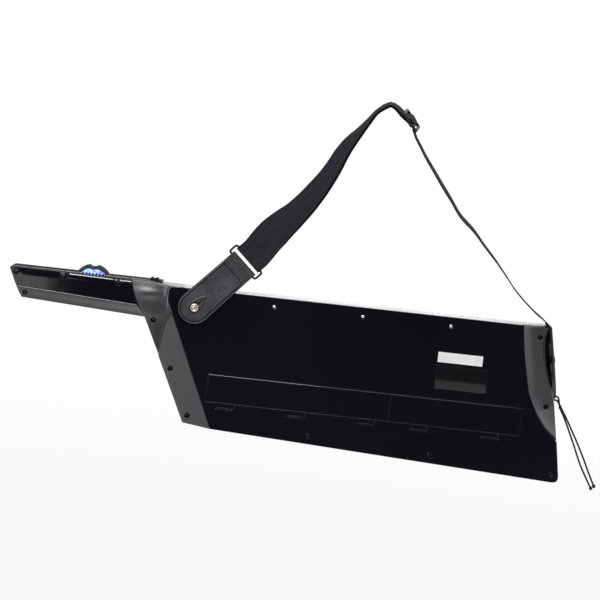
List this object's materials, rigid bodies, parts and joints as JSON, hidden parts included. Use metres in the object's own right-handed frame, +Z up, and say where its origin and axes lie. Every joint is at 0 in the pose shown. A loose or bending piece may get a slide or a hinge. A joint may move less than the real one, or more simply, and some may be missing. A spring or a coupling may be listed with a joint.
{
  "type": "keytar",
  "caption": "Electronic keyboard worn on a shoulder strap: sprung full-size keys, drum pads, a neck with bend wheel and rocker, and a gloss back with two lidded compartments.",
  "frame": {"origin": "top of the strap, at the middle of the webbing's thickness and width, where it lies on a shoulder or a hook", "axes": "+X from the neck to the far end along the keyboard, +Y from the gloss back to the playing side, +Z up to the strap"},
  "size_m": [0.95, 0.0735, 0.5717],
  "materials": {
    "white_plastic": "smooth white moulding",
    "black_gloss": "polished black moulding",
    "charcoal_matte": "fine-grained charcoal moulding",
    "slate_matte": "satin grey moulding",
    "black_matte": "satin black moulding",
    "key_white": "smooth white key top",
    "key_black": "satin black key top",
    "blue_clear": "clear blue moulding",
    "soft_rubber": "soft-touch silicone",
    "board_green": "glass-fibre circuit board",
    "bright_steel": "plated steel",
    "dark_leather": "grained black leather",
    "dark_webbing": "woven black webbing"
  },
  "bodies": {
    "casing": {"front_shell": "white_plastic", "rear_cover": "black_gloss", "collar": "charcoal_matte", "end_cap": "slate_matte", "neck_front": "black_matte", "neck_back": "black_gloss", "neck_grip": "charcoal_matte", "key_frame": "black_matte", "pad_mat": "soft_rubber", "main_board": "board_green", "strap_button_left": "bright_steel", "strap_button_right": "bright_steel", "strap_tab_left": "dark_leather", "strap_tab_right": "dark_leather", "strap_ring": "black_gloss", "strap_slider": "black_gloss", "strap_webbing": "dark_webbing", "strap_lace": "dark_leather"},
    "key_01": {"key_01_white": "key_white"},
    "key_02": {"key_02_black": "key_black"},
    "key_03": {"key_03_white": "key_white"},
    "key_04": {"key_04_black": "key_black"},
    "key_05": {"key_05_white": "key_white"},
    "key_06": {"key_06_white": "key_white"},
    "key_07": {"key_07_black": "key_black"},
    "key_08": {"key_08_white": "key_white"},
    "key_09": {"key_09_black": "key_black"},
    "key_10": {"key_10_white": "key_white"},
    "key_11": {"key_11_black": "key_black"},
    "key_12": {"key_12_white": "key_white"},
    "key_13": {"key_13_white": "key_white"},
    "key_14": {"key_14_black": "key_black"},
    "key_15": {"key_15_white": "key_white"},
    "key_16": {"key_16_black": "key_black"},
    "key_17": {"key_17_white": "key_white"},
    "key_18": {"key_18_white": "key_white"},
    "key_19": {"key_19_black": "key_black"},
    "key_20": {"key_20_white": "key_white"},
    "key_21": {"key_21_black": "key_black"},
    "key_22": {"key_22_white": "key_white"},
    "key_23": {"key_23_black": "key_black"},
    "key_24": {"key_24_white": "key_white"},
    "key_25": {"key_25_white": "key_white"},
    "key_26": {"key_26_black": "key_black"},
    "key_27": {"key_27_white": "key_white"},
    "key_28": {"key_28_black": "key_black"},
    "key_29": {"key_29_white": "key_white"},
    "key_30": {"key_30_white": "key_white"},
    "key_31": {"key_31_black": "key_black"},
    "key_32": {"key_32_white": "key_white"},
    "key_33": {"key_33_black": "key_black"},
    "key_34": {"key_34_white": "key_white"},
    "key_35": {"key_35_black": "key_black"},
    "key_36": {"key_36_white": "key_white"},
    "key_37": {"key_37_white": "key_white"},
    "bend_wheel": {"wheel_disc": "blue_clear", "wheel_tyre": "soft_rubber"},
    "rocker": {"neck_rocker": "black_matte"},
    "lid_left": {"door_left": "black_gloss"},
    "lid_right": {"door_right": "black_gloss"}
  },
  "joints": [
    {"name": "key_01_press", "type": "hinge", "parent": "casing", "child": "key_01", "pos_m": [-0.2614, 0.0145, -0.4777], "axis": [1, 0, 0], "range_deg": [0, 3.4], "stiffness_Nm_per_rad": 0.7, "springref_deg": -4.58},
    {"name": "key_02_press", "type": "hinge", "parent": "casing", "child": "key_02", "pos_m": [-0.25196, 0.0145, -0.4777], "axis": [1, 0, 0], "range_deg": [0, 3.4], "stiffness_Nm_per_rad": 0.7, "springref_deg": -4.58},
    {"name": "key_03_press", "type": "hinge", "parent": "casing", "child": "key_03", "pos_m": [-0.2378, 0.0145, -0.4777], "axis": [1, 0, 0], "range_deg": [0, 3.4], "stiffness_Nm_per_rad": 0.7, "springref_deg": -4.58},
    {"name": "key_04_press", "type": "hinge", "parent": "casing", "child": "key_04", "pos_m": [-0.22364, 0.0145, -0.4777], "axis": [1, 0, 0], "range_deg": [0, 3.4], "stiffness_Nm_per_rad": 0.7, "springref_deg": -4.58},
    {"name": "key_05_press", "type": "hinge", "parent": "casing", "child": "key_05", "pos_m": [-0.2142, 0.0145, -0.4777], "axis": [1, 0, 0], "range_deg": [0, 3.4], "stiffness_Nm_per_rad": 0.7, "springref_deg": -4.58},
    {"name": "key_06_press", "type": "hinge", "parent": "casing", "child": "key_06", "pos_m": [-0.1906, 0.0145, -0.4777], "axis": [1, 0, 0], "range_deg": [0, 3.4], "stiffness_Nm_per_rad": 0.7, "springref_deg": -4.58},
    {"name": "key_07_press", "type": "hinge", "parent": "casing", "child": "key_07", "pos_m": [-0.18217, 0.0145, -0.4777], "axis": [1, 0, 0], "range_deg": [0, 3.4], "stiffness_Nm_per_rad": 0.7, "springref_deg": -4.58},
    {"name": "key_08_press", "type": "hinge", "parent": "casing", "child": "key_08", "pos_m": [-0.167, 0.0145, -0.4777], "axis": [1, 0, 0], "range_deg": [0, 3.4], "stiffness_Nm_per_rad": 0.7, "springref_deg": -4.58},
    {"name": "key_09_press", "type": "hinge", "parent": "casing", "child": "key_09", "pos_m": [-0.1552, 0.0145, -0.4777], "axis": [1, 0, 0], "range_deg": [0, 3.4], "stiffness_Nm_per_rad": 0.7, "springref_deg": -4.58},
    {"name": "key_10_press", "type": "hinge", "parent": "casing", "child": "key_10", "pos_m": [-0.1434, 0.0145, -0.4777], "axis": [1, 0, 0], "range_deg": [0, 3.4], "stiffness_Nm_per_rad": 0.7, "springref_deg": -4.58},
    {"name": "key_11_press", "type": "hinge", "parent": "casing", "child": "key_11", "pos_m": [-0.12823, 0.0145, -0.4777], "axis": [1, 0, 0], "range_deg": [0, 3.4], "stiffness_Nm_per_rad": 0.7, "springref_deg": -4.58},
    {"name": "key_12_press", "type": "hinge", "parent": "casing", "child": "key_12", "pos_m": [-0.1198, 0.0145, -0.4777], "axis": [1, 0, 0], "range_deg": [0, 3.4], "stiffness_Nm_per_rad": 0.7, "springref_deg": -4.58},
    {"name": "key_13_press", "type": "hinge", "parent": "casing", "child": "key_13", "pos_m": [-0.0962, 0.0145, -0.4777], "axis": [1, 0, 0], "range_deg": [0, 3.4], "stiffness_Nm_per_rad": 0.7, "springref_deg": -4.58},
    {"name": "key_14_press", "type": "hinge", "parent": "casing", "child": "key_14", "pos_m": [-0.08676, 0.0145, -0.4777], "axis": [1, 0, 0], "range_deg": [0, 3.4], "stiffness_Nm_per_rad": 0.7, "springref_deg": -4.58},
    {"name": "key_15_press", "type": "hinge", "parent": "casing", "child": "key_15", "pos_m": [-0.0726, 0.0145, -0.4777], "axis": [1, 0, 0], "range_deg": [0, 3.4], "stiffness_Nm_per_rad": 0.7, "springref_deg": -4.58},
    {"name": "key_16_press", "type": "hinge", "parent": "casing", "child": "key_16", "pos_m": [-0.05844, 0.0145, -0.4777], "axis": [1, 0, 0], "range_deg": [0, 3.4], "stiffness_Nm_per_rad": 0.7, "springref_deg": -4.58},
    {"name": "key_17_press", "type": "hinge", "parent": "casing", "child": "key_17", "pos_m": [-0.049, 0.0145, -0.4777], "axis": [1, 0, 0], "range_deg": [0, 3.4], "stiffness_Nm_per_rad": 0.7, "springref_deg": -4.58},
    {"name": "key_18_press", "type": "hinge", "parent": "casing", "child": "key_18", "pos_m": [-0.0254, 0.0145, -0.4777], "axis": [1, 0, 0], "range_deg": [0, 3.4], "stiffness_Nm_per_rad": 0.7, "springref_deg": -4.58},
    {"name": "key_19_press", "type": "hinge", "parent": "casing", "child": "key_19", "pos_m": [-0.01697, 0.0145, -0.4777], "axis": [1, 0, 0], "range_deg": [0, 3.4], "stiffness_Nm_per_rad": 0.7, "springref_deg": -4.58},
    {"name": "key_20_press", "type": "hinge", "parent": "casing", "child": "key_20", "pos_m": [-0.0018, 0.0145, -0.4777], "axis": [1, 0, 0], "range_deg": [0, 3.4], "stiffness_Nm_per_rad": 0.7, "springref_deg": -4.58},
    {"name": "key_21_press", "type": "hinge", "parent": "casing", "child": "key_21", "pos_m": [0.01, 0.0145, -0.4777], "axis": [1, 0, 0], "range_deg": [0, 3.4], "stiffness_Nm_per_rad": 0.7, "springref_deg": -4.58},
    {"name": "key_22_press", "type": "hinge", "parent": "casing", "child": "key_22", "pos_m": [0.0218, 0.0145, -0.4777], "axis": [1, 0, 0], "range_deg": [0, 3.4], "stiffness_Nm_per_rad": 0.7, "springref_deg": -4.58},
    {"name": "key_23_press", "type": "hinge", "parent": "casing", "child": "key_23", "pos_m": [0.03697, 0.0145, -0.4777], "axis": [1, 0, 0], "range_deg": [0, 3.4], "stiffness_Nm_per_rad": 0.7, "springref_deg": -4.58},
    {"name": "key_24_press", "type": "hinge", "parent": "casing", "child": "key_24", "pos_m": [0.0454, 0.0145, -0.4777], "axis": [1, 0, 0], "range_deg": [0, 3.4], "stiffness_Nm_per_rad": 0.7, "springref_deg": -4.58},
    {"name": "key_25_press", "type": "hinge", "parent": "casing", "child": "key_25", "pos_m": [0.069, 0.0145, -0.4777], "axis": [1, 0, 0], "range_deg": [0, 3.4], "stiffness_Nm_per_rad": 0.7, "springref_deg": -4.58},
    {"name": "key_26_press", "type": "hinge", "parent": "casing", "child": "key_26", "pos_m": [0.07844, 0.0145, -0.4777], "axis": [1, 0, 0], "range_deg": [0, 3.4], "stiffness_Nm_per_rad": 0.7, "springref_deg": -4.58},
    {"name": "key_27_press", "type": "hinge", "parent": "casing", "child": "key_27", "pos_m": [0.0926, 0.0145, -0.4777], "axis": [1, 0, 0], "range_deg": [0, 3.4], "stiffness_Nm_per_rad": 0.7, "springref_deg": -4.58},
    {"name": "key_28_press", "type": "hinge", "parent": "casing", "child": "key_28", "pos_m": [0.10676, 0.0145, -0.4777], "axis": [1, 0, 0], "range_deg": [0, 3.4], "stiffness_Nm_per_rad": 0.7, "springref_deg": -4.58},
    {"name": "key_29_press", "type": "hinge", "parent": "casing", "child": "key_29", "pos_m": [0.1162, 0.0145, -0.4777], "axis": [1, 0, 0], "range_deg": [0, 3.4], "stiffness_Nm_per_rad": 0.7, "springref_deg": -4.58},
    {"name": "key_30_press", "type": "hinge", "parent": "casing", "child": "key_30", "pos_m": [0.1398, 0.0145, -0.4777], "axis": [1, 0, 0], "range_deg": [0, 3.4], "stiffness_Nm_per_rad": 0.7, "springref_deg": -4.58},
    {"name": "key_31_press", "type": "hinge", "parent": "casing", "child": "key_31", "pos_m": [0.14823, 0.0145, -0.4777], "axis": [1, 0, 0], "range_deg": [0, 3.4], "stiffness_Nm_per_rad": 0.7, "springref_deg": -4.58},
    {"name": "key_32_press", "type": "hinge", "parent": "casing", "child": "key_32", "pos_m": [0.1634, 0.0145, -0.4777], "axis": [1, 0, 0], "range_deg": [0, 3.4], "stiffness_Nm_per_rad": 0.7, "springref_deg": -4.58},
    {"name": "key_33_press", "type": "hinge", "parent": "casing", "child": "key_33", "pos_m": [0.1752, 0.0145, -0.4777], "axis": [1, 0, 0], "range_deg": [0, 3.4], "stiffness_Nm_per_rad": 0.7, "springref_deg": -4.58},
    {"name": "key_34_press", "type": "hinge", "parent": "casing", "child": "key_34", "pos_m": [0.187, 0.0145, -0.4777], "axis": [1, 0, 0], "range_deg": [0, 3.4], "stiffness_Nm_per_rad": 0.7, "springref_deg": -4.58},
    {"name": "key_35_press", "type": "hinge", "parent": "casing", "child": "key_35", "pos_m": [0.20217, 0.0145, -0.4777], "axis": [1, 0, 0], "range_deg": [0, 3.4], "stiffness_Nm_per_rad": 0.7, "springref_deg": -4.58},
    {"name": "key_36_press", "type": "hinge", "parent": "casing", "child": "key_36", "pos_m": [0.2106, 0.0145, -0.4777], "axis": [1, 0, 0], "range_deg": [0, 3.4], "stiffness_Nm_per_rad": 0.7, "springref_deg": -4.58},
    {"name": "key_37_press", "type": "hinge", "parent": "casing", "child": "key_37", "pos_m": [0.2342, 0.0145, -0.4777], "axis": [1, 0, 0], "range_deg": [0, 3.4], "stiffness_Nm_per_rad": 0.7, "springref_deg": -4.58},
    {"name": "bend_wheel_turn", "type": "hinge", "parent": "casing", "child": "bend_wheel", "pos_m": [-0.429, -0.001, -0.3257], "axis": [0, 1, 0], "range_deg": [-30, 30], "stiffness_Nm_per_rad": 0.03},
    {"name": "rocker_tilt", "type": "hinge", "parent": "casing", "child": "rocker", "pos_m": [-0.333, 0, -0.3162], "axis": [0, 1, 0], "range_deg": [-5, 5], "stiffness_Nm_per_rad": 0.05},
    {"name": "lid_left_swing", "type": "hinge", "parent": "casing", "child": "lid_left", "pos_m": [-0.0902, -0.021, -0.4461], "axis": [1, 0, 0], "range_deg": [-95, 0]},
    {"name": "lid_right_swing", "type": "hinge", "parent": "casing", "child": "lid_right", "pos_m": [0.1561, -0.021, -0.4461], "axis": [1, 0, 0], "range_deg": [-95, 0]}
  ]
}
